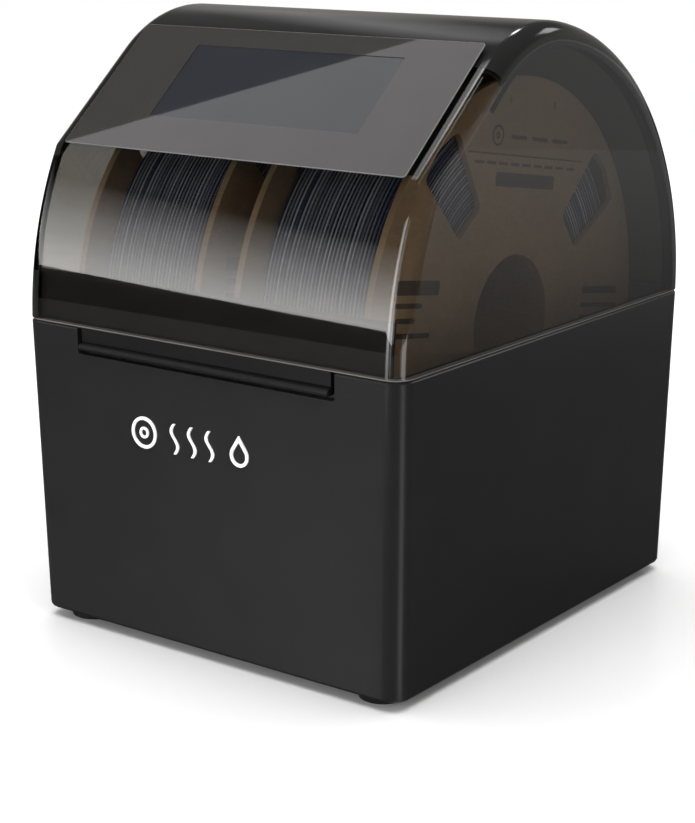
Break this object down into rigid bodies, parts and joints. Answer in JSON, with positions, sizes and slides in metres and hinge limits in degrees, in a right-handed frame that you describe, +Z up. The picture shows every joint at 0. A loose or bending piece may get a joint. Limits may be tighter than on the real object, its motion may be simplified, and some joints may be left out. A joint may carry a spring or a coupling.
{
  "type": "filament dryer box",
  "caption": "Heated drying box for 3D printer filament: tapered base, hinged see-through dome lid with a sloping display, and spools turning on rollers inside.",
  "frame": {"origin": "on the floor under the four feet, at the centre of the footprint (hinge and handle lip included)", "axes": "+Z up, the front with the pull tab and display slope faces -Y, +X to the right seen from the front"},
  "size_m": [0.19, 0.224, 0.2525],
  "materials": {
    "base_plastic": "satin black, very fine texture",
    "underside_plastic": "matte black",
    "foot_rubber": "matte",
    "screw_steel": "plain zinc",
    "tub_plastic": "matte dark grey",
    "gasket_silicone": "matte",
    "bracket_plastic": "matte",
    "axle_steel": "ground",
    "heater_fins": "plain",
    "fan_plastic": "matte black",
    "board_green": "solder resist",
    "sensor_white": "matte",
    "fitting_plastic": "matte black",
    "brass_pin": "plain",
    "magnet_nickel": "nickel plated",
    "emblem_silver": "silver white",
    "lid_clear": "smoke tinted, polished",
    "liner_black": "satin",
    "band_black": "gloss",
    "tab_black": "satin",
    "panel_black": "gloss",
    "lcd_glass": "gloss",
    "cardboard": "printed kraft",
    "filament_blue": "satin",
    "roller_plastic": "matte",
    "bush_white": "matte",
    "rocker_plastic": "gloss"
  },
  "bodies": {
    "base": {"base_front": "base_plastic", "base_rear": "base_plastic", "base_left": "base_plastic", "base_right": "base_plastic", "bottom_plate": "underside_plastic", "feet": "foot_rubber", "bottom_screws": "screw_steel", "tub_floor": "tub_plastic", "tub_front": "tub_plastic", "tub_left": "tub_plastic", "tub_right": "tub_plastic", "tub_bay": "tub_plastic", "tub_rear": "tub_plastic", "rim_gasket": "gasket_silicone", "axle_brackets": "bracket_plastic", "bracket_screws": "screw_steel", "axle_front": "axle_steel", "axle_rear": "axle_steel", "air_grille": "underside_plastic", "heater_block": "heater_fins", "fan_frame": "fan_plastic", "fan_axle": "axle_steel", "power_board": "board_green", "control_board": "board_green", "humidity_sensor": "sensor_white", "power_inlet": "fitting_plastic", "inlet_pins": "brass_pin", "switch_body": "fitting_plastic", "outlet_fittings": "fitting_plastic", "base_hinge_leaves": "fitting_plastic", "hinge_pins": "axle_steel", "base_magnets": "magnet_nickel", "front_emblem": "emblem_silver"},
    "lid": {"lid_shell": "lid_clear", "lid_liner": "liner_black", "lid_band": "band_black", "handle_tab": "tab_black", "lid_hinge_leaves": "fitting_plastic", "lid_magnets": "magnet_nickel", "display_panel": "panel_black", "lcd_module": "lcd_glass", "display_board": "board_green", "display_housing": "underside_plastic", "display_screws": "screw_steel"},
    "spool_left": {"spool_left_flanges": "cardboard", "spool_left_core": "cardboard", "spool_left_winding": "filament_blue"},
    "spool_right": {"spool_right_flanges": "cardboard", "spool_right_core": "cardboard", "spool_right_winding": "filament_blue"},
    "roller_front_left": {"roller_front_left": "roller_plastic", "bushes_front_left": "bush_white"},
    "roller_front_right": {"roller_front_right": "roller_plastic", "bushes_front_right": "bush_white"},
    "roller_rear_left": {"roller_rear_left": "roller_plastic", "bushes_rear_left": "bush_white"},
    "roller_rear_right": {"roller_rear_right": "roller_plastic", "bushes_rear_right": "bush_white"},
    "fan": {"fan_impeller": "fan_plastic"},
    "rocker": {"power_rocker": "rocker_plastic"}
  },
  "joints": [
    {"name": "lid_hinge", "type": "hinge", "parent": "base", "child": "lid", "pos_m": [0, 0.10905, 0.13], "axis": [-1, 0, 0], "range_deg": [0, 85]},
    {"name": "spool_left_spin", "type": "hinge", "parent": "base", "child": "spool_left", "pos_m": [-0.041, -0.00205, 0.131], "axis": [1, 0, 0], "continuous": true},
    {"name": "roller_front_left_spin", "type": "hinge", "parent": "base", "child": "roller_front_left", "pos_m": [-0.041, -0.0557, 0.03807], "axis": [1, 0, 0], "continuous": true},
    {"name": "roller_rear_left_spin", "type": "hinge", "parent": "base", "child": "roller_rear_left", "pos_m": [-0.041, 0.0516, 0.03807], "axis": [1, 0, 0], "continuous": true},
    {"name": "spool_right_spin", "type": "hinge", "parent": "base", "child": "spool_right", "pos_m": [0.041, -0.00205, 0.131], "axis": [1, 0, 0], "continuous": true},
    {"name": "roller_front_right_spin", "type": "hinge", "parent": "base", "child": "roller_front_right", "pos_m": [0.041, -0.0557, 0.03807], "axis": [1, 0, 0], "continuous": true},
    {"name": "roller_rear_right_spin", "type": "hinge", "parent": "base", "child": "roller_rear_right", "pos_m": [0.041, 0.0516, 0.03807], "axis": [1, 0, 0], "continuous": true},
    {"name": "fan_spin", "type": "hinge", "parent": "base", "child": "fan", "pos_m": [0, 0.09395, 0.044], "axis": [0, 1, 0], "continuous": true},
    {"name": "rocker_tilt", "type": "hinge", "parent": "base", "child": "rocker", "pos_m": [-0.032, 0.10345, 0.044], "axis": [1, 0, 0], "range_deg": [0, 14]}
  ],
  "couplings": [
    {"joint": "roller_front_left_spin", "follows": "spool_left_spin", "ratio": -12.375},
    {"joint": "roller_rear_left_spin", "follows": "spool_left_spin", "ratio": -12.375},
    {"joint": "roller_front_right_spin", "follows": "spool_right_spin", "ratio": -12.375},
    {"joint": "roller_rear_right_spin", "follows": "spool_right_spin", "ratio": -12.375}
  ]
}
